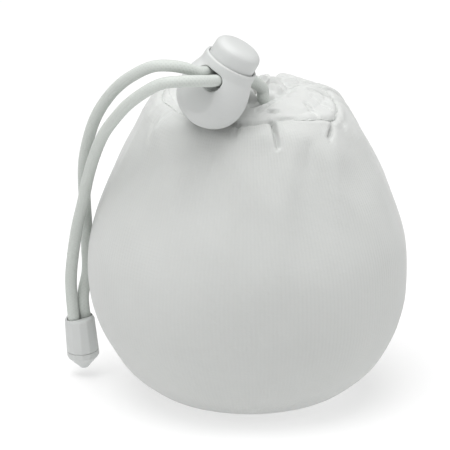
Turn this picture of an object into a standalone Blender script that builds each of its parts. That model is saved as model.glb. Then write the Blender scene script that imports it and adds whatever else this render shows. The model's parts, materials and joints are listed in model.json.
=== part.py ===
"""Drawstring pouch ball with a spring cord lock, as separate closed solids.

Metres, +Z up.  The origin is the middle of the flat base, and the front faces -Y.
"""
import math

import bmesh
import bpy
import mathutils

MM = 0.001
GAP = 0.3 * MM              # between pieces that touch
ROUND_STEPS = 48            # steps round the large turned pieces
MERGE = 0.00001

# Pouch: radius and height along its outer side, from the hem down to the flat base
POUCH_SIDE = [(19.4, 76.3), (22.0, 75.6), (24.8, 73.5), (27.6, 69.7), (31.3, 62.6), (34.9, 54.4),
              (38.0, 45.6), (39.7, 34.0), (38.9, 23.5), (36.4, 16.6), (31.6, 8.7), (25.0, 3.2), (17.5, 0.0)]
FABRIC_THICK = 1.0
FILL_CLEAR = 0.35           # between the fabric and what it holds
FILL_TOP = 73.0

# Casing round the mouth, with the channel that the drawcord runs in
CASING_SIDE = [(10.5, 80.2), (14.0, 79.2), (17.0, 77.6), (18.9, 75.9), (18.2, 74.9), (14.5, 74.9), (10.5, 74.9),
               (7.5, 75.3), (5.5, 76.5), (5.0, 78.2), (5.6, 79.7), (7.6, 80.4)]
CHANNEL_RING_R = 10.5
CHANNEL_Z = 77.6
CHANNEL_R = 1.85
EXIT_MIDDLE_X = 1.0         # the opening that both ends of the cord come out of
EXIT_SIZE = (13.6, 5.4, 6.0)
STITCH_RING_R = 18.0
STITCH_Z = 77.4
THREAD_R = 0.25

# Cord lock: its own axes are X across the two cords, Y along them and Z up the plunger
CORD_R = 1.5
LOCK_CENTRE = (-8.45, -20.5, 86.4)
LOCK_TURN = (-16.9, 24.6, -37.4)
CORD_ACROSS = 1.85          # each cord's distance from the lock's middle plane
CORD_UP = 5.0
BARREL_OUTER = [(7.05, 9.0), (7.1, 6.6), (7.7, 5.0), (8.4, 3.0), (8.9, 0.2), (8.8, -2.2), (8.1, -4.4),
                (6.8, -6.3), (4.9, -7.9), (2.6, -8.9), (0.0, -9.2)]
BORE_R = 6.35
BORE_FLOOR = -4.4
RIM_Z = 9.3
SPRING_POCKET_R = 2.4
SPRING_POCKET_FLOOR = -7.2
FACE_HALF = 7.4             # the flats that the cord hole opens on
HOLE_HALF_WIDTH = 3.9
HOLE_CORNER_R = 2.4
BARREL_HOLE = (1.8, 6.8)
PLUNGER_R = 6.1
PLUNGER_BOTTOM = -1.0
PLUNGER_DOME = [(0.0, 14.4), (3.6, 14.2), (5.3, 13.6), (6.1, 12.5)]
PLUNGER_TRAVEL = 2.0
SPRING_R = 1.7
SPRING_WIRE_R = 0.25
SPRING_TURNS = 5.0

# Cord end: a twelve-sided shell and cap round the knot that ties both tails
END_TOP = (-42.15, 10.25, 15.7)
END_TILT = -6.0
END_TURN = 29.0
END_SIDES = 12
END_R = 4.05
SHELL_LENGTH = 9.0
CAVITY_R = 3.0
CAVITY_TOP = -1.6
CAP_LENGTH = 4.8
TAIL_PITCH = 3.2            # between the two tails where they enter the cord end
KNOT_R = 2.4
KNOT_Z = -5.2

# Each tail's route after the lock, in millimetres
FRONT_ROUTE = [(-13.0, -33.3, 93.8), (-17.2, -34.3, 94.0), (-21.5, -33.0, 92.9), (-25.6, -30.2, 89.7),
               (-29.8, -26.0, 84.9), (-33.1, -21.2, 79.4), (-35.9, -16.3, 73.5), (-38.1, -11.2, 66.3),
               (-39.8, -6.5, 58.6), (-41.1, -2.0, 50.5), (-42.5, 2.0, 43.0), (-43.6, 5.5, 34.5),
               (-44.2, 8.0, 27.0)]
REAR_ROUTE = [(-15.3, -30.6, 96.2), (-19.4, -31.2, 97.1), (-23.6, -29.4, 96.2), (-27.6, -25.8, 93.1),
              (-31.5, -20.6, 88.5), (-34.8, -15.3, 82.9), (-37.6, -10.2, 76.4), (-39.5, -5.5, 69.2),
              (-40.7, -1.2, 61.6), (-40.9, 2.6, 55.0), (-40.7, 6.3, 48.6), (-40.4, 9.4, 41.5),
              (-40.2, 11.2, 34.0), (-40.1, 11.6, 27.5)]


def point(x, y, z):
    return mathutils.Vector((x, y, z)) * MM


def empty_scene():
    for old in list(bpy.data.objects):
        bpy.data.objects.remove(old, do_unlink=True)


def new_collection(name):
    collection = bpy.data.collections.new(name)
    bpy.context.scene.collection.children.link(collection)
    return collection


def material(name, colour, roughness, metallic=0.0):
    mat = bpy.data.materials.new(name)
    mat.use_nodes = True
    shader = mat.node_tree.nodes["Principled BSDF"]
    shader.inputs["Base Color"].default_value = (*colour, 1.0)
    shader.inputs["Roughness"].default_value = roughness
    shader.inputs["Metallic"].default_value = metallic
    return mat


def add_object(name, data, mat=None, collection=None):
    obj = bpy.data.objects.new(name, data)
    (collection or parts).objects.link(obj)
    if mat:
        data.materials.append(mat)
    return obj


def line_mesh(name, profile, closed):
    """A line of edges through (radius, height) points in the XZ plane."""
    mesh = bpy.data.meshes.new(name)
    bm = bmesh.new()
    verts = [bm.verts.new(point(radius, 0.0, height)) for radius, height in profile]
    for first, second in zip(verts, verts[1:]):
        bm.edges.new((first, second))
    if closed:
        bm.edges.new((verts[-1], verts[0]))
    bm.to_mesh(mesh)
    bm.free()
    return mesh


def add_screw(obj, steps, smooth=True):
    screw = obj.modifiers.new("Screw", "SCREW")
    screw.axis = "Z"
    screw.steps = steps
    screw.render_steps = steps
    screw.use_merge_vertices = True
    screw.merge_threshold = MERGE
    screw.use_smooth_shade = smooth
    return screw


def turned(name, profile, mat, steps=ROUND_STEPS, closed=False, smooth=True, collection=None):
    obj = add_object(name, line_mesh(name, profile, closed), mat, collection)
    add_screw(obj, steps, smooth)
    return obj


def smooth_route(points, spacing):
    """Points at an even spacing on a smooth curve through the given points."""
    ends = [points[0] * 2 - points[1]] + points + [points[-1] * 2 - points[-2]]
    fine = []
    for before, start, end, after in zip(ends, ends[1:], ends[2:], ends[3:]):
        for step in range(16):
            t = step / 16
            fine.append(0.5 * (2 * start + (end - before) * t
                               + (2 * before - 5 * start + 4 * end - after) * t * t
                               + (3 * start - before - 3 * end + after) * t ** 3))
    fine.append(points[-1])
    lengths = [0.0]
    for first, second in zip(fine, fine[1:]):
        lengths.append(lengths[-1] + (second - first).length)
    count = round(lengths[-1] / spacing)
    route, index = [], 0
    for number in range(count + 1):
        target = lengths[-1] * number / count
        while index < len(fine) - 2 and lengths[index + 1] < target:
            index += 1
        share = (target - lengths[index]) / (lengths[index + 1] - lengths[index])
        route.append(fine[index].lerp(fine[index + 1], share))
    return route


def tube(name, route, radius, mat):
    """A round tube through the points, as a mesh with its end caps welded on."""
    curve = bpy.data.curves.new(name, "CURVE")
    curve.dimensions = "3D"
    curve.bevel_depth = radius
    curve.bevel_resolution = 2
    curve.use_fill_caps = True
    spline = curve.splines.new("POLY")
    spline.points.add(len(route) - 1)
    for spot, place in zip(spline.points, route):
        spot.co = (*place, 1.0)
    return add_object(name, curve, mat)


def cutter(name, mesh, matrix=None):
    obj = add_object(name, mesh, collection=cutters)
    obj.hide_render = True
    obj.display_type = "WIRE"
    if matrix:
        obj.matrix_world = matrix
    return obj


def cut(obj, tool):
    boolean = obj.modifiers.new("Cut " + tool.name, "BOOLEAN")
    boolean.operation = "DIFFERENCE"
    boolean.solver = "EXACT"
    boolean.object = tool


def slot_mesh(name, half_width, low, high, corner, length):
    """A prism along Y with a rounded oblong outline in XZ, for cutting a slot."""
    mesh = bpy.data.meshes.new(name)
    bm = bmesh.new()
    outline = []
    for centre_x, centre_z, start in ((half_width - corner, high - corner, 0),
                                      (corner - half_width, high - corner, 90),
                                      (corner - half_width, low + corner, 180),
                                      (half_width - corner, low + corner, 270)):
        for step in range(5):
            angle = math.radians(start + 22.5 * step)
            outline.append((centre_x + corner * math.cos(angle), centre_z + corner * math.sin(angle)))
    verts = [bm.verts.new(point(x, -length / 2, z)) for x, z in outline]
    face = bm.faces.new(verts)
    moved = bmesh.ops.extrude_face_region(bm, geom=[face])
    far = [item for item in moved["geom"] if isinstance(item, bmesh.types.BMVert)]
    bmesh.ops.translate(bm, verts=far, vec=point(0, length, 0))
    bmesh.ops.recalc_face_normals(bm, faces=bm.faces)
    bm.to_mesh(mesh)
    bm.free()
    return mesh


def box_mesh(name, size):
    mesh = bpy.data.meshes.new(name)
    bm = bmesh.new()
    bmesh.ops.create_cube(bm, size=1.0)
    bmesh.ops.scale(bm, vec=point(*size), verts=bm.verts)
    bm.to_mesh(mesh)
    bm.free()
    return mesh


def pouch_body():
    obj = turned("pouch_body", POUCH_SIDE + [(0.0, 0.0)], fabric)
    shell = obj.modifiers.new("Fabric", "SOLIDIFY")
    shell.thickness = FABRIC_THICK * MM
    shell.offset = -1.0
    shell.use_even_offset = True


def inset(profile, distance):
    """The profile moved inwards by the distance, square to its own run."""
    moved = []
    for index in range(1, len(profile) - 1):
        run = mathutils.Vector(profile[index + 1]) - mathutils.Vector(profile[index - 1])
        run.normalize()
        moved.append((profile[index][0] + run.y * distance, profile[index][1] - run.x * distance))
    return moved


def filling():
    side = inset(POUCH_SIDE[1:], FABRIC_THICK + FILL_CLEAR)
    floor = FABRIC_THICK + FILL_CLEAR
    top = [(0.0, FILL_TOP), (13.0, FILL_TOP - 0.4), (19.0, FILL_TOP - 0.9)]
    turned("filling", top + side[1:] + [(POUCH_SIDE[-1][0] - 1.0, floor), (0.0, floor)], herbs, steps=32)


def casing_band():
    obj = turned("casing_band", CASING_SIDE, facing, closed=True)
    ring = [(CHANNEL_RING_R + CHANNEL_R * math.cos(math.radians(a)), CHANNEL_Z + CHANNEL_R * math.sin(math.radians(a)))
            for a in range(90, -270, -36)]
    channel = turned("channel_cut", ring, None, closed=True, collection=cutters)
    channel.hide_render = True
    channel.display_type = "WIRE"
    cut(obj, channel)
    middle = mathutils.Matrix.Translation(point(EXIT_MIDDLE_X, -9.3, CHANNEL_Z + EXIT_SIZE[2] / 2 - 1.4))
    cut(obj, cutter("exit_cut", box_mesh("exit_cut", EXIT_SIZE), middle))


def hem_stitching():
    ring = [(STITCH_RING_R + THREAD_R * math.cos(math.radians(a)), STITCH_Z + THREAD_R * math.sin(math.radians(a)))
            for a in range(90, -270, -60)]
    turned("hem_stitching", ring, thread, closed=True)


def lock_point(across, along, up):
    """A point given in the lock's own axes, in the part's frame."""
    return lock_frame.matrix_world @ point(across, along, up)


def cord_in_lock(side, first, last):
    return [lock_point(side * CORD_ACROSS, first + (last - first) * step / 3, CORD_UP) for step in range(4)]


def drawcord_loop():
    """The stretch from inside the lock, round the channel and back into the lock."""
    route = cord_in_lock(-1, GAP / MM / 2, 8.5)
    route += [point(-1.9, -7.7, 86.0), point(-1.5, -7.6, 83.6), point(-1.8, -8.4, 80.8), point(-3.2, -9.4, 78.4)]
    for degrees in range(238, -55, -12):
        angle = math.radians(degrees)
        route.append(point(CHANNEL_RING_R * math.cos(angle), CHANNEL_RING_R * math.sin(angle), CHANNEL_Z))
    route += [point(5.2, -9.4, 78.5), point(3.9, -9.2, 80.8), point(3.6, -8.8, 83.2)]
    route += cord_in_lock(1, 10.5, GAP / MM / 2)
    tube("drawcord_loop", smooth_route(route, 3.0 * MM), CORD_R * MM, elastic)


def cord_tail(name, side, route):
    points = cord_in_lock(side, -GAP / MM / 2, -11.0)
    points += [point(*place) for place in route]
    for height in (5.0, -2.1):
        points.append(end_frame.matrix_world @ point(-side * TAIL_PITCH / 2, 0, height))
    tube(name, smooth_route(points, 4.0 * MM), CORD_R * MM, elastic)


def lock_barrel():
    inner = [(0.0, SPRING_POCKET_FLOOR), (SPRING_POCKET_R, SPRING_POCKET_FLOOR), (SPRING_POCKET_R, BORE_FLOOR),
             (BORE_R, BORE_FLOOR), (BORE_R, RIM_Z), (BORE_R + 0.4, RIM_Z)]
    obj = turned("lock_barrel", inner + BARREL_OUTER, plastic, steps=40)
    obj.parent = lock_frame
    low, high = BARREL_HOLE
    hole = slot_mesh("barrel_hole_cut", HOLE_HALF_WIDTH, low, high, HOLE_CORNER_R, 24.0)
    cut(obj, cutter("barrel_hole_cut", hole, lock_frame.matrix_world))
    for side in (-1, 1):
        flat = lock_frame.matrix_world @ mathutils.Matrix.Translation(point(0, side * (FACE_HALF + 3), 0))
        cut(obj, cutter("barrel_flat_cut", box_mesh("barrel_flat_cut", (24, 6, 24)), flat))


def lock_plunger():
    obj = turned("lock_plunger", PLUNGER_DOME + [(PLUNGER_R, PLUNGER_BOTTOM), (0.0, PLUNGER_BOTTOM)], plastic, steps=40)
    obj.parent = lock_frame
    low = CORD_UP - CORD_R - GAP / MM
    high = CORD_UP + CORD_R + PLUNGER_TRAVEL + 0.2
    slot = slot_mesh("plunger_slot_cut", HOLE_HALF_WIDTH, low, high, HOLE_CORNER_R, 24.0)
    cut(obj, cutter("plunger_slot_cut", slot, lock_frame.matrix_world))


def lock_spring():
    low = SPRING_POCKET_FLOOR + SPRING_WIRE_R + GAP / MM
    high = PLUNGER_BOTTOM - SPRING_WIRE_R - GAP / MM
    count = int(SPRING_TURNS * 10)
    route = []
    for number in range(count + 1):
        share = number / count
        rise = min(max((share - 0.12) / 0.76, 0.0), 1.0)
        angle = 2 * math.pi * SPRING_TURNS * share
        height = low + (high - low) * rise + (share - 0.5) * 0.2
        route.append(point(SPRING_R * math.cos(angle), SPRING_R * math.sin(angle), height))
    obj = tube("lock_spring", route, SPRING_WIRE_R * MM, steel)
    obj.parent = lock_frame


def cord_end():
    inner = [(0.0, CAVITY_TOP), (CAVITY_R, CAVITY_TOP), (CAVITY_R, -SHELL_LENGTH)]
    outer = [(END_R - 0.55, 0.0), (END_R - 0.25, -0.6), (END_R, -SHELL_LENGTH)]
    shell = turned("cord_end_shell", [(0.0, 0.0)] + outer + inner[::-1], plastic, steps=END_SIDES, smooth=False)
    shell.parent = end_frame
    half = TAIL_PITCH / 2 + CORD_R + GAP / MM
    slot = slot_mesh("cord_end_slot_cut", half, -CORD_R - GAP / MM, CORD_R + GAP / MM, CORD_R + GAP / MM - 0.05, 8.0)
    upright = end_frame.matrix_world @ mathutils.Matrix.Rotation(math.radians(90), 4, "X")
    cut(shell, cutter("cord_end_slot_cut", slot, upright))

    top = -SHELL_LENGTH - GAP / MM
    plug_r, plug_top = CAVITY_R - GAP / MM, -SHELL_LENGTH + 1.0
    bottom = -SHELL_LENGTH - CAP_LENGTH
    profile = [(0.0, plug_top), (plug_r, plug_top), (plug_r, top), (END_R, top), (END_R, top - 1.3),
               (0.9, bottom), (0.0, bottom)]
    cap = turned("cord_end_cap", profile, plastic, steps=END_SIDES, smooth=False)
    cap.parent = end_frame


def cord_knot():
    mesh = bpy.data.meshes.new("cord_knot")
    bm = bmesh.new()
    bmesh.ops.create_uvsphere(bm, u_segments=16, v_segments=10, radius=KNOT_R * MM)
    for vert in bm.verts:
        twist = math.atan2(vert.co.y, vert.co.x) * 2 + vert.co.z / (0.9 * MM)
        vert.co *= 1.0 - 0.05 * (1 + math.sin(twist))
    bm.to_mesh(mesh)
    bm.free()
    mesh.shade_smooth()
    obj = add_object("cord_knot", mesh, elastic)
    obj.parent = end_frame
    obj.location = point(0, 0, KNOT_Z)


def frame_empty(name, place, turn):
    empty = bpy.data.objects.new(name, None)
    parts.objects.link(empty)
    empty.location = point(*place)
    empty.rotation_euler = [math.radians(angle) for angle in turn]
    bpy.context.view_layer.update()
    return empty


empty_scene()
parts = new_collection("drawstring_pouch_ball")
cutters = new_collection("cutters")

fabric = material("ribbed_cotton", (0.66, 0.67, 0.66), 0.9)
facing = material("smooth_cotton", (0.72, 0.73, 0.72), 0.85)
thread = material("white_thread", (0.7, 0.7, 0.7), 0.7)
elastic = material("round_elastic", (0.6, 0.62, 0.6), 0.8)
plastic = material("white_plastic", (0.7, 0.72, 0.71), 0.4)
steel = material("spring_steel", (0.6, 0.6, 0.62), 0.3, 1.0)
herbs = material("dried_herbs", (0.35, 0.32, 0.18), 0.95)

lock_frame = frame_empty("lock_axes", LOCK_CENTRE, LOCK_TURN)
end_frame = frame_empty("cord_end_axes", END_TOP, (0.0, END_TILT, END_TURN))

pouch_body()
filling()
casing_band()
hem_stitching()
drawcord_loop()
cord_tail("cord_tail_front", 1, FRONT_ROUTE)
cord_tail("cord_tail_rear", -1, REAR_ROUTE)
lock_barrel()
lock_plunger()
lock_spring()
cord_end()
cord_knot()
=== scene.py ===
import json
import math

import bmesh
import bpy
import numpy as np
from mathutils import Matrix, Vector, noise


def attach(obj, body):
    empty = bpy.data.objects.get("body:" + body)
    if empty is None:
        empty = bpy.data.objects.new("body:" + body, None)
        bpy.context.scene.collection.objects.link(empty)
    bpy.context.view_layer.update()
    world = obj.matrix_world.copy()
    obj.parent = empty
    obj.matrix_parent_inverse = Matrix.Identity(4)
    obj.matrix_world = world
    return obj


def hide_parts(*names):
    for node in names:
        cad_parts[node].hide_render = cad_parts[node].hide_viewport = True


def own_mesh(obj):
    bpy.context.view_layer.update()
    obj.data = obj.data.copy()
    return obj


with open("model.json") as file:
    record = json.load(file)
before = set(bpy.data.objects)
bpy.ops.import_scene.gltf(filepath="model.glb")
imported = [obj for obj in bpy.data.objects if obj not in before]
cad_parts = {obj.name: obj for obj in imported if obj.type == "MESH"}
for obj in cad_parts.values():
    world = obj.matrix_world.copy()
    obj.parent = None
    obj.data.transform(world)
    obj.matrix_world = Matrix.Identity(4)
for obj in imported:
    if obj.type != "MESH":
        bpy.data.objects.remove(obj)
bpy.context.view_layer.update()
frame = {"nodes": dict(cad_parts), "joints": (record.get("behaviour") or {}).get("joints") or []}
nodes = frame["nodes"]
joints = {joint["name"]: joint for joint in frame["joints"]}
mm = 0.001
print("frame loaded:", len(nodes), "nodes")


# camera: a little above the ball, looking along +Y
viewSettings = {
    "elevation": 20.0,
    "distance": 4.5,
    "lens": 1440.0,      # long, so the ball looks nearly flat-on
    "clipEnd": 30.0,
    "lookAt": (-0.0056, 0.0, 0.0438),
}


def addCamera(settings):
    data = bpy.data.cameras.new("productCamera")
    data.lens = settings["lens"]
    data.clip_end = settings["clipEnd"]
    camera = bpy.data.objects.new("productCamera", data)
    bpy.context.scene.collection.objects.link(camera)
    angle = math.radians(settings["elevation"])
    back = Vector((0.0, -math.cos(angle), math.sin(angle)))
    camera.location = Vector(settings["lookAt"]) + back * settings["distance"]
    camera.rotation_euler = (math.radians(90.0) - angle, 0.0, 0.0)
    bpy.context.scene.camera = camera


addCamera(viewSettings)
bpy.context.scene.view_settings.view_transform = "Standard"
print("camera placed")


# small helpers for meshes
def linkObject(name, data):
    obj = bpy.data.objects.new(name, data)
    bpy.context.scene.collection.objects.link(obj)
    return obj


def gridMesh(name, rows, closeAround=True, capEnds=False):
    # rows: array (row, column, 3); columns run round the piece
    rowCount, columnCount = rows.shape[:2]
    mesh = bpy.data.meshes.new(name)
    faces = []
    for row in range(rowCount - 1):
        for column in range(columnCount if closeAround else columnCount - 1):
            following = (column + 1) % columnCount
            faces.append((row * columnCount + column, row * columnCount + following,
                          (row + 1) * columnCount + following, (row + 1) * columnCount + column))
    if capEnds:
        faces.append(tuple(range(columnCount))[::-1])
        faces.append(tuple(range((rowCount - 1) * columnCount, rowCount * columnCount)))
    mesh.from_pydata(rows.reshape(-1, 3).tolist(), [], faces)
    mesh.shade_smooth()
    return mesh


def addVectorAttribute(mesh, name, values):
    attribute = mesh.attributes.new(name, "FLOAT_VECTOR", "POINT")
    attribute.data.foreach_set("vector", np.asarray(values, np.float32).reshape(-1))


def bakeModifiers(obj):
    # the object with its modifiers made real, under the same name
    graph = bpy.context.evaluated_depsgraph_get()
    mesh = bpy.data.meshes.new_from_object(obj.evaluated_get(graph))
    obj.modifiers.clear()
    old = obj.data
    obj.data = mesh
    bpy.data.meshes.remove(old)
    return obj


def smoothRoute(points, spacing):
    # even steps on a smooth curve through the points
    ends = [points[0] * 2 - points[1]] + points + [points[-1] * 2 - points[-2]]
    fine = []
    for before, start, end, after in zip(ends, ends[1:], ends[2:], ends[3:]):
        for step in range(16):
            t = step / 16
            fine.append(0.5 * (2 * start + (end - before) * t
                               + (2 * before - 5 * start + 4 * end - after) * t * t
                               + (3 * start - before - 3 * end + after) * t ** 3))
    fine.append(points[-1])
    lengths = [0.0]
    for first, second in zip(fine, fine[1:]):
        lengths.append(lengths[-1] + (second - first).length)
    count = round(lengths[-1] / spacing)
    route, index = [], 0
    for number in range(count + 1):
        target = lengths[-1] * number / count
        while index < len(fine) - 2 and lengths[index + 1] < target:
            index += 1
        share = (target - lengths[index]) / (lengths[index + 1] - lengths[index])
        route.append(fine[index].lerp(fine[index + 1], share))
    return route, lengths[-1]


# materials
def newMaterial(name, colour, roughness, **sockets):
    material = bpy.data.materials.new(name)
    material.use_nodes = True
    shader = material.node_tree.nodes["Principled BSDF"]
    shader.inputs["Base Color"].default_value = (*colour, 1.0)
    shader.inputs["Roughness"].default_value = roughness
    for socket, value in sockets.items():
        shader.inputs[socket.replace("_", " ")].default_value = value
    return material, material.node_tree, shader


def addNode(tree, kind, inputs=None, **settings):
    node = tree.nodes.new("ShaderNode" + kind)
    for key, value in settings.items():
        setattr(node, key, value)
    for key, value in (inputs or {}).items():
        if isinstance(value, bpy.types.NodeSocket):
            tree.links.new(value, node.inputs[key])
        else:
            node.inputs[key].default_value = value
    return node


def mathNode(tree, operation, first, second=0.0):
    return addNode(tree, "Math", {0: first, 1: second}, operation=operation).outputs[0]


def waveNode(tree, value, turns):
    return mathNode(tree, "SINE", mathNode(tree, "MULTIPLY", value, 2 * math.pi * turns))


def bumpNode(tree, height, strength, distance, normal=None):
    inputs = {"Height": height, "Strength": strength, "Distance": distance}
    if normal is not None:
        inputs["Normal"] = normal
    return addNode(tree, "Bump", inputs).outputs[0]


def tintedColour(tree, factor, dark, light):
    ramp = addNode(tree, "ValToRGB", {"Fac": factor})
    ramp.color_ramp.elements[0].color = (*dark, 1.0)
    ramp.color_ramp.elements[1].color = (*light, 1.0)
    return ramp.outputs[0]


ribbedCotton = {
    "colour": (0.600, 0.611, 0.598),
    # darker end of the colour ramp: painted shade in the rib valleys, and random tone from the cloud noise
    "shade": (0.562, 0.573, 0.560),
    "ribs": 230,               # round the whole ball
    "courseHeight": 0.9,       # mm from one knitted row to the next
    "ribDepth": 0.05,          # mm
}


def makeRibbedCotton(settings, name):
    material, tree, shader = newMaterial(name, settings["colour"], 0.92,
                                         Sheen_Weight=0.25, Sheen_Roughness=0.5)
    clothMap = addNode(tree, "Attribute", attribute_name="clothMap").outputs["Vector"]
    split = addNode(tree, "SeparateXYZ", {0: clothMap})
    ribs = waveNode(tree, split.outputs[0], settings["ribs"])
    courses = waveNode(tree, split.outputs[1], 1 / settings["courseHeight"])
    position = addNode(tree, "TexCoord").outputs["Object"]
    fuzz = addNode(tree, "TexNoise", {"Vector": position, "Scale": 900.0, "Detail": 3.0}).outputs[0]
    cloud = addNode(tree, "TexNoise", {"Vector": position, "Scale": 60.0, "Detail": 3.0}).outputs[0]
    ribPart = mathNode(tree, "MULTIPLY", ribs, 0.30)
    coursePart = mathNode(tree, "MULTIPLY", courses, 0.12)
    height = mathNode(tree, "ADD", mathNode(tree, "ADD", ribPart, coursePart), fuzz)
    normal = bumpNode(tree, height, 0.6, settings["ribDepth"] * 2 * mm)
    tree.links.new(normal, shader.inputs["Normal"])
    # painted shade: the rib valleys are coloured a little darker than the crests; the cloud noise adds random
    # tone
    tint = mathNode(tree, "ADD", mathNode(tree, "MULTIPLY", ribs, 0.10), cloud)
    tint = tintedColour(tree, tint, settings["shade"], settings["colour"])
    tree.links.new(tint, shader.inputs["Base Color"])
    return material


smoothCotton = {
    "colour": (0.64, 0.651, 0.638),
    # darker end of the colour ramp: painted shade in the rib valleys, and random tone from the cloud noise
    "shade": (0.605, 0.616, 0.603),
    "ribs": 330,
    "courseHeight": 0.6,
    "ribDepth": 0.05,
}

elasticCover = {
    "colour": (0.57, 0.60, 0.57),
    # darker end of the colour ramp: painted shade between the braid's strands
    "shade": (0.48, 0.51, 0.48),
    "strands": 16,
    "pitch": 1.9,              # mm along the cord for one turn of a strand
}


def makeElastic(settings):
    material, tree, shader = newMaterial("braidedElastic", settings["colour"], 0.75, Sheen_Weight=0.15)
    cordMap = addNode(tree, "Attribute", attribute_name="cordMap").outputs["Vector"]
    split = addNode(tree, "SeparateXYZ", {0: cordMap})
    around = mathNode(tree, "MULTIPLY", split.outputs[0], settings["strands"] / 2 * 2 * math.pi)
    along = mathNode(tree, "MULTIPLY", split.outputs[1], 2 * math.pi / settings["pitch"] * 2)
    leftHand = mathNode(tree, "SINE", mathNode(tree, "ADD", around, along))
    rightHand = mathNode(tree, "SINE", mathNode(tree, "SUBTRACT", around, along))
    braid = mathNode(tree, "MAXIMUM", leftHand, rightHand)
    position = addNode(tree, "TexCoord").outputs["Object"]
    fuzz = addNode(tree, "TexNoise", {"Vector": position, "Scale": 1200.0}).outputs[0]
    height = mathNode(tree, "ADD", mathNode(tree, "MULTIPLY", braid, 0.35), fuzz)
    tree.links.new(bumpNode(tree, height, 0.5, 0.12 * mm), shader.inputs["Normal"])
    # painted shade: the braid's low parts between strands are coloured darker and its crests lighter
    tint = mathNode(tree, "MULTIPLY_ADD", braid, 0.3)
    tint = tintedColour(tree, mathNode(tree, "ADD", tint, 0.4), settings["shade"], settings["colour"])
    tree.links.new(tint, shader.inputs["Base Color"])
    return material


mouldedPlastic = {"colour": (0.60, 0.613, 0.605), "roughness": 0.5}


def makePlastic(settings):
    roughness = settings["roughness"]
    material, tree, shader = newMaterial("mouldedPlastic", settings["colour"], roughness, IOR=1.46)
    position = addNode(tree, "TexCoord").outputs["Object"]
    grain = addNode(tree, "TexNoise", {"Vector": position, "Scale": 1500.0, "Detail": 2.0}).outputs[0]
    ripple = addNode(tree, "TexNoise", {"Vector": position, "Scale": 180.0, "Detail": 2.0}).outputs[0]
    fine = bumpNode(tree, grain, 0.15, 0.03 * mm)
    tree.links.new(bumpNode(tree, ripple, 0.2, 0.12 * mm, fine), shader.inputs["Normal"])
    patchy = addNode(tree, "MapRange", {0: ripple, 3: roughness - 0.05, 4: roughness + 0.07})
    tree.links.new(patchy.outputs[0], shader.inputs["Roughness"])
    return material


def makeThread():
    material, tree, shader = newMaterial("sewingThread", (0.62, 0.64, 0.62), 0.7)
    position = addNode(tree, "TexCoord").outputs["Object"]
    twist = addNode(tree, "TexWave", {"Vector": position, "Scale": 900.0, "Distortion": 2.0}).outputs[1]
    tree.links.new(bumpNode(tree, twist, 0.5, 0.05 * mm), shader.inputs["Normal"])
    return material


def makeSteel():
    material, tree, shader = newMaterial("springSteel", (0.55, 0.55, 0.57), 0.28, Metallic=1.0)
    position = addNode(tree, "TexCoord").outputs["Object"]
    drawn = addNode(tree, "TexNoise", {"Vector": position, "Scale": 2500.0}).outputs[0]
    tree.links.new(bumpNode(tree, drawn, 0.2, 0.02 * mm), shader.inputs["Normal"])
    return material


def makeHerbs():
    material, tree, shader = newMaterial("driedHerbs", (0.30, 0.27, 0.15), 0.95)
    position = addNode(tree, "TexCoord").outputs["Object"]
    flakes = addNode(tree, "TexVoronoi", {"Vector": position, "Scale": 500.0})
    distance = flakes.outputs["Distance"]
    tint = tintedColour(tree, distance, (0.22, 0.20, 0.10), (0.42, 0.38, 0.22))
    tree.links.new(tint, shader.inputs["Base Color"])
    tree.links.new(bumpNode(tree, distance, 0.8, 0.5 * mm), shader.inputs["Normal"])
    return material


cotton = makeRibbedCotton(ribbedCotton, "ribbedCotton")
facing = makeRibbedCotton(smoothCotton, "smoothCotton")
elastic = makeElastic(elasticCover)
plastic = makePlastic(mouldedPlastic)
thread = makeThread()
steel = makeSteel()
herbs = makeHerbs()
print("materials made")


# where the lock sits, read from the frame
bottomDepth = 9.2              # mm from the lock's own centre down to its lowest point


def lockMatrix():
    up = -Vector(joints["plunger_press"]["axis"]).normalized()
    outward = Vector(joints["lock_slide"]["axis"])
    outward = (outward - up * outward.dot(up)).normalized()
    across = (-outward).cross(up)
    points = np.array([vert.co for vert in nodes["lock_barrel"].data.vertices])
    reachAcross, reachAlong, reachUp = (points @ np.array(way) for way in (across, outward, up))
    middleAcross = (reachAcross.max() + reachAcross.min()) / 2
    middleAlong = (reachAlong.max() + reachAlong.min()) / 2
    centre = across * middleAcross + outward * middleAlong + up * (reachUp.min() + bottomDepth * mm)
    matrix = Matrix((across, -outward, up)).transposed().to_4x4()
    matrix.translation = centre
    return matrix


lockFrame = lockMatrix()


def inLock(across, along, up):
    return lockFrame @ (Vector((across, along, up)) * mm)


# where the cord end hangs: the middle of its top, its lean and its turn in degrees
cordEnd = {"top": (-0.04215, 0.01025, 0.0157), "tilt": -6.0, "turn": 29.0}


def cordEndMatrix(settings):
    turn = Matrix.Rotation(math.radians(settings["turn"]), 4, "Z")
    tilt = Matrix.Rotation(math.radians(settings["tilt"]), 4, "Y")
    return Matrix.Translation(settings["top"]) @ turn @ tilt


endFrame = cordEndMatrix(cordEnd)


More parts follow.
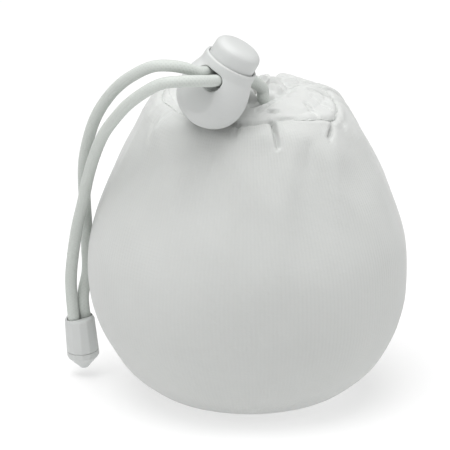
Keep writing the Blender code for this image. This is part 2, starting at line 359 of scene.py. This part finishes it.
# the pouch and its casing: one run of cloth from inside the mouth to the middle of the base
pouch = {
    "columns": 400,
    # radius and height in mm, from inside the mouth over the casing, down the side to the base
    "side": [(4.2, 74.5), (4.5, 78.0), (5.3, 80.6), (7.2, 80.9), (10.5, 80.2), (14.0, 79.3), (17.0, 77.9),
             (18.6, 76.9), (20.6, 76.5), (23.0, 75.4), (25.2, 73.2), (27.8, 69.4), (31.4, 62.6), (35.0, 54.4),
             (38.1, 45.6), (39.5, 39.8), (39.9, 34.0), (39.7, 28.5), (39.0, 23.5), (36.5, 16.6), (31.7, 8.7),
             (25.6, 3.4), (20.6, 1.0), (16.0, 0.1), (10.0, 0.0), (0.4, 0.0)],
    "seamRadius": 18.6,
    # how far down the side the seam wanders, in mm, at each angle from the front
    "seamDrift": [(-180, 0.8), (-145, -0.4), (-110, 1.2), (-80, 2.2), (-45, 0.6), (-10, 0.3), (18, -0.2),
                  (27, 0.0), (42, 1.6), (56, 3.8), (63, 5.4), (72, 4.8), (85, 2.4), (100, 0.8),
                  (130, -0.3), (160, 0.6), (180, 0.8)],
    # soft swellings: angle, mm from the seam, height, half spread in degrees and in mm
    "swells": [(84, -1.0, 1.9, 34, 6.0), (-88, 0.0, 2.3, 36, 7.5), (40, -5.0, 0.9, 20, 4.5),
               (8, 4.0, 1.0, 7, 3.5), (29, 6.0, 1.0, 8, 5.0), (21, 15.0, 0.5, 5, 5.0),
               (-38, 19.0, 0.6, 9, 6.0), (-22, 22.0, -0.5, 8, 7.0), (52, 13.0, 0.8, 13, 5.0),
               (-32, 3.0, 0.8, 14, 4.0), (80, 12.0, 0.7, 10, 6.0), (150, 2.0, 1.2, 20, 6.0),
               (-142, 2.0, 1.2, 22, 6.0), (-60, 8.0, 0.7, 10, 6.0), (118, 5.0, 0.8, 12, 5.0),
               (-115, 7.0, 0.8, 12, 6.0)],
    # creases: first angle and mm from the seam, last angle and mm, half width, depth
    "creases": [(18.5, 0.2, 17.0, 8.0, 0.5, 2.4), (19.0, -3.9, 28.0, -3.0, 0.35, 0.9),
                (8.0, -4.6, 36.0, -7.2, 0.3, 0.9), (4.0, -7.2, 33.0, -9.0, 0.6, 1.6),
                (57.0, -2.5, 54.0, 2.4, 0.5, 0.8), (75.0, -3.0, 69.0, 7.5, 0.8, 0.7),
                (51.0, 8.5, 61.0, 5.6, 0.7, 1.1), (86.0, -4.0, 88.0, 4.0, 0.6, 1.0),
                (-6.0, 0.0, -8.0, 4.5, 0.6, 0.6), (-58.0, -2.0, -61.0, 6.5, 0.8, 0.6),
                (-80.0, -4.0, -76.0, 5.0, 0.8, 0.6), (-101.0, -2.0, -106.0, 8.0, 0.8, 1.1),
                (-126.0, -3.0, -121.0, 4.0, 0.7, 0.9), (-152.0, -1.0, -158.0, 9.0, 0.9, 1.2),
                (-176.0, -3.0, -171.0, 4.5, 0.7, 0.9), (106.0, -3.0, 109.0, 8.0, 0.8, 1.1),
                (134.0, -2.0, 127.0, 4.5, 0.7, 0.9), (160.0, -2.0, 166.0, 9.0, 0.9, 1.1),
                (95.0, 5.0, 93.0, 12.0, 0.9, 0.5), (-66.0, 5.0, -61.0, 11.0, 0.9, 0.4),
                (35.0, 9.0, 33.0, 15.0, 1.4, 0.3), (-15.0, 7.0, -19.0, 14.0, 1.4, 0.3),
                (95.0, -9.0, 92.0, -5.0, 0.5, 0.9), (140.0, -9.0, 145.0, -4.0, 0.5, 0.8),
                (-95.0, -9.0, -92.0, -4.0, 0.5, 0.9), (-140.0, -9.0, -143.0, -4.0, 0.5, 0.8),
                (180.0, -9.0, 177.0, -5.0, 0.5, 0.8)],
    "frillFolds": 11,
    "frillHeight": 1.5,        # mm, of the gathers inside the mouth
    "furrowDepth": 1.1,        # mm, where the drawcord pulls the casing in
    "furrowRadius": 10.3,
    "seamDepth": 0.55,
    "backDrop": 1.5,
    "lean": 0.7,
    "unevenness": 0.22,
}


def sideCurve(settings):
    points = [Vector((radius, 0.0, height)) for radius, height in settings["side"]]
    line = smoothRoute(points, 0.2)[0]
    radius = np.array([place.x for place in line])
    height = np.array([place.z for place in line])
    along = np.concatenate([[0.0], np.cumsum(np.hypot(np.diff(radius), np.diff(height)))])
    return radius, height, along


def clothRows(settings, along, seam):
    # closer rows where the cloth is gathered
    places = list(np.arange(0.0, seam, 0.42))
    places[-1] = seam
    step = 0.45
    while places[-1] + step < along[-1]:
        places.append(places[-1] + step)
        step = min(step * (1.0 if places[-1] < seam + 13.0 else 1.05), 1.7)
    places.append(along[-1])
    return np.array(places)


def bell(distance, spread):
    return np.exp(-(distance / spread) ** 2)


def turnBetween(first, second):
    return (first - second + 180.0) % 360.0 - 180.0


def creaseField(settings, angle, t, radius):
    field = np.zeros_like(t)
    for startAngle, startT, endAngle, endT, width, depth in settings["creases"]:
        x = np.radians(turnBetween(angle, startAngle)) * radius
        middleRadius = settings["seamRadius"] + 0.75 * (startT + endT) / 2
        endX = math.radians(turnBetween(endAngle, startAngle)) * middleRadius
        length = math.hypot(endX, endT - startT)
        directionX, directionT = endX / length, (endT - startT) / length
        share = (x * directionX + (t - startT) * directionT) / length
        inside = np.clip(share, 0.0, 1.0)
        offX = x - inside * endX
        offT = t - startT - inside * (endT - startT)
        distance = np.hypot(offX, offT)
        side = x * directionT - (t - startT) * directionX
        taper = 0.45 + 0.55 * np.sin(np.pi * np.clip(share * 0.8 + 0.15, 0.0, 1.0))
        field += depth * taper * (0.4 * bell(distance, 5.0 * width) - 1.35 * bell(distance, width))
        field += 0.15 * depth * taper * np.sign(side) * bell(distance - 1.6 * width, 1.2 * width)
    return field


def clothNoise(points, scale, seed):
    shift = Vector((seed * 7.3, seed * 3.1, seed * 5.7))
    return np.array([noise.noise(Vector(point) * scale + shift) for point in points])


def makeCloth(settings):
    radiusLine, heightLine, along = sideCurve(settings)
    seam = along[np.argmax(radiusLine >= settings["seamRadius"])]
    places = clothRows(settings, along, seam)
    columns = settings["columns"]
    angle = np.linspace(-180.0, 180.0, columns, endpoint=False)
    knots = np.array(settings["seamDrift"], float)
    drift = np.interp(angle, knots[:, 0], knots[:, 1])
    drift = sum(np.roll(drift, shift) for shift in range(-6, 7)) / 13
    hold = np.where(places < seam, np.clip((places - 8.0) / (seam - 8.0), 0, 1) ** 1.2,
                    np.clip(1 - (places - seam) / 26.0, 0, 1) ** 1.5)
    reach = places[:, None] + hold[:, None] * drift[None, :]
    t = reach - seam
    radius = np.interp(reach, along, radiusLine)
    height = np.interp(reach, along, heightLine)
    slopeR = np.interp(reach + 0.3, along, radiusLine) - np.interp(reach - 0.3, along, radiusLine)
    slopeZ = np.interp(reach + 0.3, along, heightLine) - np.interp(reach - 0.3, along, heightLine)
    size = np.hypot(slopeR, slopeZ) + 1e-9
    outR, outZ = -slopeZ / size, slopeR / size
    turn = np.broadcast_to(angle[None, :], t.shape)

    field = np.zeros_like(t)
    for centre, at, tall, spreadAngle, spreadT in settings["swells"]:
        field += tall * bell(turnBetween(turn, centre), spreadAngle) * bell(t - at, spreadT)
    field += creaseField(settings, turn, t, np.maximum(radius, 4.0))
    seamDistance = t - drift[None, :]
    field -= settings["seamDepth"] * bell(seamDistance, 0.55)
    field += 0.25 * bell(np.abs(seamDistance) - 1.5, 0.8)
    # small puckers that the stitches pull into both sides of the seam
    pucker = np.sin(np.radians(turn) * 37 + 1.5 * np.sin(np.radians(turn) * 5)) * 0.08
    field += pucker * bell(seamDistance, 2.2)

    flat = np.radians(turn)
    mouth = np.clip((9.8 - radius) / 5.0, 0.0, 1.0) * (reach < 16.0)
    waves = np.sin(settings["frillFolds"] * flat + 1.3 * np.sin(2 * flat)) + 0.5 * np.sin(7 * flat + 0.8)
    sharp = np.sign(waves) * np.abs(waves) ** 0.8
    lift = settings["frillHeight"] * mouth * (sharp + 0.35)
    field -= settings["furrowDepth"] * bell(radius - settings["furrowRadius"], 1.2) * (t < -3.0)
    ripples = 0.14 * np.sin(23 * flat + 2.0 * np.sin(3 * flat))
    field += ripples * bell(radius - 10.5, 2.6) * (t < -2.0)

    radiusNow = radius + outR * field
    heightNow = height + outZ * field + lift * np.clip((reach - 3.0) / 5.0, 0.0, 1.0)
    radiusNow += 0.6 * mouth * sharp * np.clip((reach - 1.0) / 5.0, 0.0, 1.0)
    points = np.stack([radiusNow * np.sin(flat), -radiusNow * np.cos(flat), heightNow], axis=-1)

    loose = points.reshape(-1, 3)
    soft = clothNoise(loose * 0.085, 1.0, 1) * 1.6 + clothNoise(loose * 0.3, 1.0, 2) * 0.2
    soft = soft.reshape(t.shape) * settings["unevenness"]
    soft *= np.clip(heightNow / 6.0, 0.0, 1.0) * (0.6 + 1.0 * bell(t, 14.0))
    normal = np.stack([outR * np.sin(flat), -outR * np.cos(flat), outZ], axis=-1)
    points += normal * soft[..., None]
    # the back of the neck sits lower, and the base leans a little to one side
    points[..., 2] -= settings["backDrop"] * np.clip(-np.cos(flat), 0.0, 1.0) * bell(t + 4.0, 9.0)
    points[..., 0] += settings["lean"] * bell(points[..., 2] - 8.0, 14.0)
    points[..., 2] = np.maximum(points[..., 2], 0.0)
    return {"points": points * mm, "normal": normal, "reach": reach,
            "seamRow": int(np.argmin(np.abs(places - seam)))}


def clothPiece(name, cloth, first, last, material, closeBase=False):
    rows = cloth["points"][first:last + 1]
    mesh = gridMesh(name, rows[::-1])
    if closeBase:
        bm = bmesh.new()
        bm.from_mesh(mesh)
        bmesh.ops.holes_fill(bm, edges=[edge for edge in bm.edges
                                        if edge.is_boundary and edge.verts[0].co.z < 1.0 * mm])
        bm.to_mesh(mesh)
        bm.free()
    columns = rows.shape[1]
    mapping = np.zeros(rows.shape)
    mapping[..., 0] = np.linspace(0.0, 1.0, columns, endpoint=False)[None, :]
    mapping[..., 1] = cloth["reach"][first:last + 1]
    addVectorAttribute(mesh, "clothMap", mapping[::-1])
    mesh.materials.append(material)
    return linkObject(name, mesh)


# the filled pouch pushes out against its own gathers: a coarse copy of the cloth is held at the seam and
# the base, blown out, and what it gains away from its mean is added to the fine cloth
settling = {
    "frames": 16,
    "pressure": 5.0,
    "cap": 1.4,                # mm, the most that a point may gain
    "share": 0.6,              # how much of the gain the fine cloth takes
    "smoothing": 8,
}


def settleCloth(settings, cloth):
    seamRow = cloth["seamRow"]
    rows = cloth["points"][seamRow::2, ::2]
    coarse = linkObject("coarsePouch", gridMesh("coarsePouch", rows))
    hold = coarse.vertex_groups.new(name="held")
    columns = rows.shape[1]
    count = rows.shape[0]
    for row in range(count):
        weight = 1.0 if row < 2 or rows[row, 0, 2] < 0.4 * mm else max(0.0, 1.0 - (row - 1) / 5.0)
        if weight > 0.0:
            hold.add(list(range(row * columns, (row + 1) * columns)), weight, "REPLACE")
    simulated = coarse.modifiers.new("settle", "CLOTH")
    fabric = simulated.settings
    fabric.quality = 6
    fabric.mass = 0.15
    fabric.tension_stiffness = 12.0
    fabric.compression_stiffness = 6.0
    fabric.shear_stiffness = 4.0
    fabric.bending_stiffness = 0.08
    fabric.use_pressure = True
    fabric.uniform_pressure_force = settings["pressure"]
    fabric.vertex_group_mass = "held"
    fabric.effector_weights.gravity = 0.0
    simulated.collision_settings.use_collision = False
    simulated.point_cache.frame_start = 1
    simulated.point_cache.frame_end = settings["frames"]
    for frameNumber in range(1, settings["frames"] + 1):
        bpy.context.scene.frame_set(frameNumber)
    graph = bpy.context.evaluated_depsgraph_get()
    blown = coarse.evaluated_get(graph).to_mesh()
    after = np.array([vertex.co for vertex in blown.vertices]).reshape(rows.shape)
    coarse.evaluated_get(graph).to_mesh_clear()
    bpy.data.objects.remove(coarse, do_unlink=True)
    bpy.context.scene.frame_set(1)

    normal = cloth["normal"][seamRow::2, ::2]
    gain = ((after - rows) * normal).sum(axis=-1) / mm
    print("cloth settled: moved", round(float(np.abs(gain).max()), 2), "mm at most")
    gain -= gain.mean(axis=1, keepdims=True)
    gain = np.clip(gain, -settings["cap"], settings["cap"]) * settings["share"]
    wide = np.repeat(gain, 2, axis=1)
    wide[:, 1::2] = (gain + np.roll(gain, -1, axis=1)) / 2
    fineCount = cloth["points"].shape[0] - seamRow
    position = np.arange(fineCount) / 2.0
    low = np.minimum(position.astype(int), count - 1)
    high = np.minimum(low + 1, count - 1)
    part = (position - low)[:, None]
    fine = wide[low] * (1 - part) + wide[high] * part
    for _ in range(settings["smoothing"]):
        fine = (np.roll(fine, 1, axis=1) + 2 * fine + np.roll(fine, -1, axis=1)) / 4
        fine[1:-1] = (fine[:-2] + 2 * fine[1:-1] + fine[2:]) / 4
    cloth["points"][seamRow:] += cloth["normal"][seamRow:] * fine[..., None] * mm
    cloth["points"][..., 2] = np.maximum(cloth["points"][..., 2], 0.0)


cloth = makeCloth(pouch)
settleCloth(settling, cloth)
seamRow = cloth["seamRow"]
pouchPiece = clothPiece("pouch", cloth, seamRow, len(cloth["points"]) - 1, cotton, closeBase=True)
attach(pouchPiece, "pouch")
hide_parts("pouch_body")
casingPiece = clothPiece("casing", cloth, 0, seamRow, facing)
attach(casingPiece, "pouch")
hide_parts("casing_band")
print("cloth made:", len(pouchPiece.data.polygons), "and", len(casingPiece.data.polygons), "faces")


# the stitches along the seam
stitches = {"count": 62, "radius": 0.16, "lift": 0.12, "arch": 0.12, "sunk": 0.3}


def makeStitches(settings, cloth):
    seamLine = cloth["points"][seamRow]
    columns = len(seamLine)
    pitch = columns / settings["count"]
    bm = bmesh.new()
    for number in range(settings["count"]):
        at = number * pitch
        start, middle, end = (Vector(seamLine[int(at + share * pitch) % columns]) for share in (0.0, 0.35, 0.7))
        normal = Vector(cloth["normal"][seamRow, int(at) % columns])
        sunk, lift = normal * settings["sunk"] * mm, normal * settings["lift"] * mm
        crown = normal * (settings["lift"] + settings["arch"]) * mm
        path = [start - sunk, start + lift, middle + crown, end + lift, end - sunk]
        previous = None
        for index, place in enumerate(path):
            ahead = (path[min(index + 1, 4)] - path[max(index - 1, 0)]).normalized()
            side = ahead.cross(normal).normalized()
            other = side.cross(ahead)
            circle = []
            for turn in [2 * math.pi * step / 8 for step in range(8)]:
                spoke = side * math.cos(turn) + other * math.sin(turn)
                circle.append(bm.verts.new(place + spoke * settings["radius"] * mm))
            if previous:
                for step in range(8):
                    following = (step + 1) % 8
                    bm.faces.new((previous[step], previous[following], circle[following], circle[step]))
            else:
                bm.faces.new(circle[::-1])
            previous = circle
        bm.faces.new(previous)
    bmesh.ops.recalc_face_normals(bm, faces=bm.faces)
    mesh = bpy.data.meshes.new("hemStitches")
    bm.to_mesh(mesh)
    bm.free()
    mesh.shade_smooth()
    mesh.materials.append(thread)
    return linkObject("hemStitches", mesh)


hemStitches = makeStitches(stitches, cloth)
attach(hemStitches, "pouch")
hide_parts("hem_stitching")
print("seam stitched")


# the elastic cord: two free tails and the stretch in the casing
cordSizes = {
    "radius": 1.5,
    "across": 1.85,            # from the lock's middle plane to each cord
    "up": 5.0,                 # height of both cords in the lock
    "straightOut": -11.0,      # how far the tails run straight, away from the mouth
    "gap": 0.3,
    "tailPitch": 3.2,          # between the tails at the cord end
    "tailEnd": (5.0, -2.1),    # heights in the cord end that each tail passes
    "sides": 24,
    "step": 0.4,
}

frontTail = [(-0.0130, -0.0333, 0.0938), (-0.0172, -0.0343, 0.0940), (-0.0215, -0.0330, 0.0929),
             (-0.0256, -0.0302, 0.0897), (-0.0298, -0.0260, 0.0849), (-0.0331, -0.0212, 0.0794),
             (-0.0359, -0.0163, 0.0735), (-0.0381, -0.0112, 0.0663), (-0.0398, -0.0065, 0.0586),
             (-0.0411, -0.0020, 0.0505), (-0.0425, 0.0020, 0.0430), (-0.0436, 0.0055, 0.0345),
             (-0.0442, 0.0080, 0.0270)]
rearTail = [(-0.0153, -0.0306, 0.0962), (-0.0194, -0.0312, 0.0971), (-0.0236, -0.0294, 0.0962),
            (-0.0276, -0.0258, 0.0931), (-0.0315, -0.0206, 0.0885), (-0.0348, -0.0153, 0.0829),
            (-0.0376, -0.0102, 0.0764), (-0.0395, -0.0055, 0.0692), (-0.0407, -0.0012, 0.0616),
            (-0.0409, 0.0026, 0.0550), (-0.0407, 0.0063, 0.0486), (-0.0404, 0.0094, 0.0415),
            (-0.0402, 0.0112, 0.0340), (-0.0401, 0.0116, 0.0275)]


def cordTube(name, route, radius, sides):
    # a round tube whose rings turn with the route without twisting
    count = len(route)
    rows = np.zeros((count, sides, 3))
    mapping = np.zeros((count, sides, 3))
    side = Vector((0.0, 0.0, 1.0))
    travelled = 0.0
    for index, place in enumerate(route):
        ahead = route[min(index + 1, count - 1)] - route[max(index - 1, 0)]
        ahead.normalize()
        side = (side - ahead * side.dot(ahead)).normalized()
        other = ahead.cross(side)
        if index:
            travelled += (place - route[index - 1]).length
        for column in range(sides):
            turn = 2 * math.pi * column / sides
            rows[index, column] = place + (side * math.cos(turn) + other * math.sin(turn)) * radius
            mapping[index, column] = (column / sides, travelled / mm, 0.0)
    mesh = gridMesh(name, rows, capEnds=True)
    addVectorAttribute(mesh, "cordMap", mapping)
    obj = linkObject(name, mesh)
    obj.data.materials.append(elastic)
    return obj


def cordInLock(side, first, last):
    across, up = side * cordSizes["across"], cordSizes["up"]
    return [inLock(across, first + (last - first) * step / 3, up) for step in range(4)]


def makeTail(name, side, route, node):
    points = cordInLock(side, -cordSizes["gap"] / 2, cordSizes["straightOut"])
    points += [Vector(place) for place in route]
    for height in cordSizes["tailEnd"]:
        points.append(endFrame @ (Vector((-side * cordSizes["tailPitch"] / 2, 0.0, height)) * mm))
    line, length = smoothRoute(points, cordSizes["step"] * mm)
    tail = cordTube(name, line, cordSizes["radius"] * mm, cordSizes["sides"])
    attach(tail, "pouch")
    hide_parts(node)
    print(name, "is", round(length, 4), "m long")
    return tail, line


tailFront, frontLine = makeTail("tailFront", 1, frontTail, "cord_tail_front")
tailRear, rearLine = makeTail("tailRear", -1, rearTail, "cord_tail_rear")
print("tails laid")


# the stretch of cord inside the casing, in mm
loopPath = {
    "ringRadius": 10.5,
    "ringHeight": 76.7,
    "ringTurn": (238, -55),    # degrees from +X where the ring starts and stops
    "straightIn": (8.5, 10.5),  # how far each end runs straight behind the lock
    "fromLock": [(-1.9, -7.7, 86.0), (-1.5, -7.6, 83.6), (-1.8, -8.4, 80.6), (-3.2, -9.3, 77.9)],
    "toLock": [(5.2, -9.3, 78.0), (3.9, -9.1, 80.6), (3.6, -8.8, 83.2)],
}


def makeLoop(settings):
    radius, height = settings["ringRadius"], settings["ringHeight"]
    points = cordInLock(-1, cordSizes["gap"] / 2, settings["straightIn"][0])
    points += [Vector(place) * mm for place in settings["fromLock"]]
    for degrees in range(*settings["ringTurn"], -12):
        turn = math.radians(degrees)
        points.append(Vector((radius * math.cos(turn), radius * math.sin(turn), height)) * mm)
    points += [Vector(place) * mm for place in settings["toLock"]]
    points += cordInLock(1, settings["straightIn"][1], cordSizes["gap"] / 2)
    line = smoothRoute(points, cordSizes["step"] * mm)[0]
    loop = cordTube("drawcordLoop", line, cordSizes["radius"] * mm, cordSizes["sides"])
    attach(loop, "pouch")
    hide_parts("drawcord_loop")
    return loop


drawcordLoop = makeLoop(loopPath)
print("cord laid in the casing")


# moulded pieces: turned, cut, then softened at every edge
def closedPiece(name, rows):
    mesh = gridMesh(name, np.array(rows) * mm, capEnds=True)
    bm = bmesh.new()
    bm.from_mesh(mesh)
    bmesh.ops.recalc_face_normals(bm, faces=bm.faces)
    bm.to_mesh(mesh)
    bm.free()
    return linkObject(name, mesh)


def turnedPiece(name, profile, steps):
    turns = np.arange(steps) * 2 * math.pi / steps
    return closedPiece(name, [[(radius * math.cos(turn), radius * math.sin(turn), height) for turn in turns]
                              for radius, height in profile])


def roundedPrism(name, halfWidth, low, high, corner, length):
    outline = []
    right, left = halfWidth - corner, corner - halfWidth
    top, bottom = high - corner, low + corner
    for centreX, centreZ, start in ((right, top, 0), (left, top, 90), (left, bottom, 180), (right, bottom, 270)):
        for step in range(9):
            turn = math.radians(start + 11.25 * step)
            outline.append((centreX + corner * math.cos(turn), centreZ + corner * math.sin(turn)))
    return closedPiece(name, [[(x, -side * length / 2, z) for x, z in outline] for side in (1, -1)])


def blockAt(name, size, centre):
    mesh = bpy.data.meshes.new(name)
    bm = bmesh.new()
    bmesh.ops.create_cube(bm, size=1.0)
    bmesh.ops.scale(bm, vec=Vector(size) * mm, verts=bm.verts)
    bmesh.ops.translate(bm, vec=Vector(centre) * mm, verts=bm.verts)
    bm.to_mesh(mesh)
    bm.free()
    return linkObject(name, mesh)


def cutAndSoften(obj, tools, softening):
    voxel, passes = softening
    for tool in tools:
        boolean = obj.modifiers.new("cut", "BOOLEAN")
        boolean.operation = "DIFFERENCE"
        boolean.solver = "EXACT"
        boolean.object = tool
    remesh = obj.modifiers.new("evenMesh", "REMESH")
    remesh.mode = "VOXEL"
    remesh.voxel_size = voxel * mm
    soften = obj.modifiers.new("soften", "SMOOTH")
    soften.factor = 0.5
    soften.iterations = passes
    bakeModifiers(obj)
    for tool in tools:
        bpy.data.objects.remove(tool, do_unlink=True)
    obj.data.shade_smooth()
    return obj


def finishPiece(obj, matrix, body, node, material):
    obj.data.transform(matrix)
    obj.data.materials.clear()
    obj.data.materials.append(material)
    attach(obj, body)
    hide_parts(node)


lockBarrel = {
    # radius and height in mm; the bore holds the spring below and the button above
    "outer": [(7.05, 9.05), (7.1, 7.8), (7.15, 6.6), (7.4, 5.8), (7.75, 4.9), (8.1, 4.0), (8.4, 3.0),
              (8.72, 1.6), (8.9, 0.2), (8.9, -1.0), (8.75, -2.4), (8.45, -3.5), (8.05, -4.5), (7.5, -5.5),
              (6.8, -6.35), (5.9, -7.2), (4.9, -7.9), (3.8, -8.45), (2.6, -8.9), (1.2, -9.15)],
    "inner": [(2.4, -7.2), (2.4, -4.4), (6.28, -4.4), (6.28, 9.3), (6.75, 9.35)],
    "faces": 7.7,                    # from the middle to each flat
    "hole": (3.8, 1.9, 6.7, 2.3),    # half width, low, high, corner radius
    "softening": (0.18, 14),         # voxel in mm, smoothing passes
}


def makeBarrel(settings):
    barrel = turnedPiece("lockBarrel", settings["inner"] + settings["outer"], 96)
    halfWidth, low, high, corner = settings["hole"]
    tools = [roundedPrism("holeTool", halfWidth, low, high, corner, 24.0)]
    for side in (-1, 1):
        tools.append(blockAt("faceTool", (24.0, 6.0, 24.0), (0.0, side * (settings["faces"] + 3.0), 0.0)))
    cutAndSoften(barrel, tools, settings["softening"])
    finishPiece(barrel, lockFrame, "lock", "lock_barrel", plastic)
    return barrel


lockPlunger = {
    "side": [(1.0, 14.4), (2.4, 14.32), (3.6, 14.2), (4.6, 13.95), (5.4, 13.5), (5.9, 12.9), (6.1, 12.2),
             (6.14, 8.0), (6.1, -1.0), (0.5, -1.0)],
    "slot": (3.9, 3.2, 8.7, 2.4),    # half width, low, high, corner radius
    "softening": (0.17, 8),
}


def makePlunger(settings):
    plunger = turnedPiece("lockPlunger", settings["side"], 96)
    halfWidth, low, high, corner = settings["slot"]
    cutAndSoften(plunger, [roundedPrism("slotTool", halfWidth, low, high, corner, 24.0)], settings["softening"])
    finishPiece(plunger, lockFrame, "plunger", "lock_plunger", plastic)
    return plunger


lockSpring = {
    "radius": 1.7,
    "wire": 0.25,
    "turns": 5.0,
    "low": -6.65,
    "high": -1.55,
    "seat": -6.9,
    "pressedTo": 0.62,         # its length with the button pressed, as a share
}


def makeSpring(settings):
    route = []
    radius = settings["radius"]
    count = int(settings["turns"] * 36)
    for number in range(count + 1):
        share = number / count
        rise = min(max((share - 0.12) / 0.76, 0.0), 1.0)
        turn = 2 * math.pi * settings["turns"] * share
        height = settings["low"] + (settings["high"] - settings["low"]) * rise + (share - 0.5) * 0.2
        route.append(Vector((radius * math.cos(turn), radius * math.sin(turn), height)) * mm)
    spring = cordTube("lockSpring", route, settings["wire"] * mm, 10)
    spring.data.transform(lockFrame)
    spring.data.materials.clear()
    spring.data.materials.append(steel)
    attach(spring, "lock")
    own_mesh(spring)
    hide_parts("lock_spring")
    return spring


barrelPiece = makeBarrel(lockBarrel)
plungerPiece = makePlunger(lockPlunger)
springPiece = makeSpring(lockSpring)
print("lock moulded:", len(barrelPiece.data.polygons), "and", len(plungerPiece.data.polygons), "faces")


# the cord end: twelve-sided shell and pointed cap round the knot
cordEndShell = {
    "outer": [(3.2, 0.0), (3.5, -0.05), (3.8, -0.65), (4.05, -9.0)],
    "inner": [(3.0, -9.0), (3.0, -1.6), (0.3, -1.6)],
    "slot": (3.4, 1.75),             # half length and half width
    "softening": (0.13, 5),
}

cordEndCap = {
    "side": [(0.3, -8.0), (2.75, -8.0), (2.75, -9.08), (4.05, -9.08), (4.05, -10.5), (0.95, -13.8),
             (0.3, -13.85)],
    "softening": (0.12, 5),
}


def facetedPiece(name, profile, tools, softening):
    return cutAndSoften(turnedPiece(name, profile, 12), tools, softening)


def makeCordEnd(shellSettings, capSettings):
    halfLength, halfWidth = shellSettings["slot"]
    slotTool = roundedPrism("slotTool", halfLength, -halfWidth, halfWidth, halfWidth - 0.05, 8.0)
    slotTool.data.transform(Matrix.Rotation(math.radians(90.0), 4, "X"))
    profile = [(0.3, 0.0)] + shellSettings["outer"] + shellSettings["inner"]
    shell = facetedPiece("cordEndShell", profile, [slotTool], shellSettings["softening"])
    cap = facetedPiece("cordEndCap", capSettings["side"], [], capSettings["softening"])
    finishPiece(shell, endFrame, "pouch", "cord_end_shell", plastic)
    finishPiece(cap, endFrame, "pouch", "cord_end_cap", plastic)
    return shell, cap


endShell, endCap = makeCordEnd(cordEndShell, cordEndCap)

cordKnot = {"height": -5.2, "coil": 1.25, "rise": 0.95, "radius": 1.1}


def makeKnot(settings):
    # an overhand knot: three crossings pulled into a lump
    route = []
    for number in range(121):
        turn = 2 * math.pi * number / 120
        radius = settings["coil"] * (0.62 + 0.32 * math.cos(3 * turn))
        route.append(Vector((radius * math.cos(2 * turn), radius * math.sin(2 * turn),
                             settings["height"] + settings["rise"] * math.sin(3 * turn))) * mm)
    knot = cordTube("cordKnot", route, settings["radius"] * mm, 16)
    knot.data.transform(endFrame)
    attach(knot, "pouch")
    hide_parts("cord_knot")
    return knot


knotPiece = makeKnot(cordKnot)
print("cord end moulded")


# the filling that shows inside the mouth
fillingLook = {"rough": 0.5, "topFrom": 71.5}


def makeFilling(settings):
    source = nodes["filling"]
    piece = linkObject("herbFilling", source.data.copy())
    piece.matrix_world = source.matrix_world.copy()
    finer = piece.modifiers.new("finer", "SUBSURF")
    finer.subdivision_type = "SIMPLE"
    finer.levels = finer.render_levels = 2
    bakeModifiers(piece)
    for vertex in piece.data.vertices:
        if vertex.co.z > settings["topFrom"] * mm:
            vertex.co.z += settings["rough"] * mm * noise.noise(vertex.co * 900.0)
    piece.data.shade_smooth()
    piece.data.materials.clear()
    piece.data.materials.append(herbs)
    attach(piece, "pouch")
    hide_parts("filling")
    return piece


herbFilling = makeFilling(fillingLook)
print("filling placed")


# floor and light
floorSettings = {"halfSide": 4.0, "drop": 0.0002, "colour": (0.45, 0.45, 0.45), "glow": 0.56}

lightSettings = {
    "world": 0.11,
    "lamps": [  # name, place, size, watts
        ("overhead", (-0.05, 0.00, 0.82), 1.0, 6.9),
        ("upperLeft", (-0.22, -0.52, 0.80), 1.0, 4.6),
        ("leftSide", (-0.80, -0.05, 0.35), 0.6, 0.6),
        ("rightSide", (0.80, 0.05, 0.30), 0.6, 1.7),
    ],
}


def addFloor(settings):
    mesh = bpy.data.meshes.new("paleFloor")
    bm = bmesh.new()
    bmesh.ops.create_grid(bm, x_segments=1, y_segments=1, size=settings["halfSide"])
    bm.to_mesh(mesh)
    bm.free()
    floor = linkObject("paleFloor", mesh)
    floor.location = (0.0, 0.0, -settings["drop"])
    material, tree, shader = newMaterial("paleFloor", settings["colour"], 0.9, Emission_Strength=settings["glow"])
    shader.inputs["Emission Color"].default_value = (1.0, 1.0, 1.0, 1.0)
    mesh.materials.append(material)


def addLamps(settings):
    world = bpy.data.worlds.new("softRoom")
    bpy.context.scene.world = world
    world.use_nodes = True
    background = world.node_tree.nodes["Background"]
    background.inputs["Color"].default_value = (1.0, 1.0, 1.0, 1.0)
    background.inputs["Strength"].default_value = settings["world"]
    for name, place, size, watts in settings["lamps"]:
        lamp = bpy.data.lights.new(name, "AREA")
        lamp.shape = "DISK"
        lamp.size = size
        lamp.energy = watts
        obj = linkObject(name, lamp)
        obj.location = place
        towards = Vector((0.0, 0.0, 0.04)) - Vector(place)
        obj.rotation_euler = towards.to_track_quat("-Z", "Y").to_euler()


addFloor(floorSettings)
addLamps(lightSettings)
print("floor and lamps set")
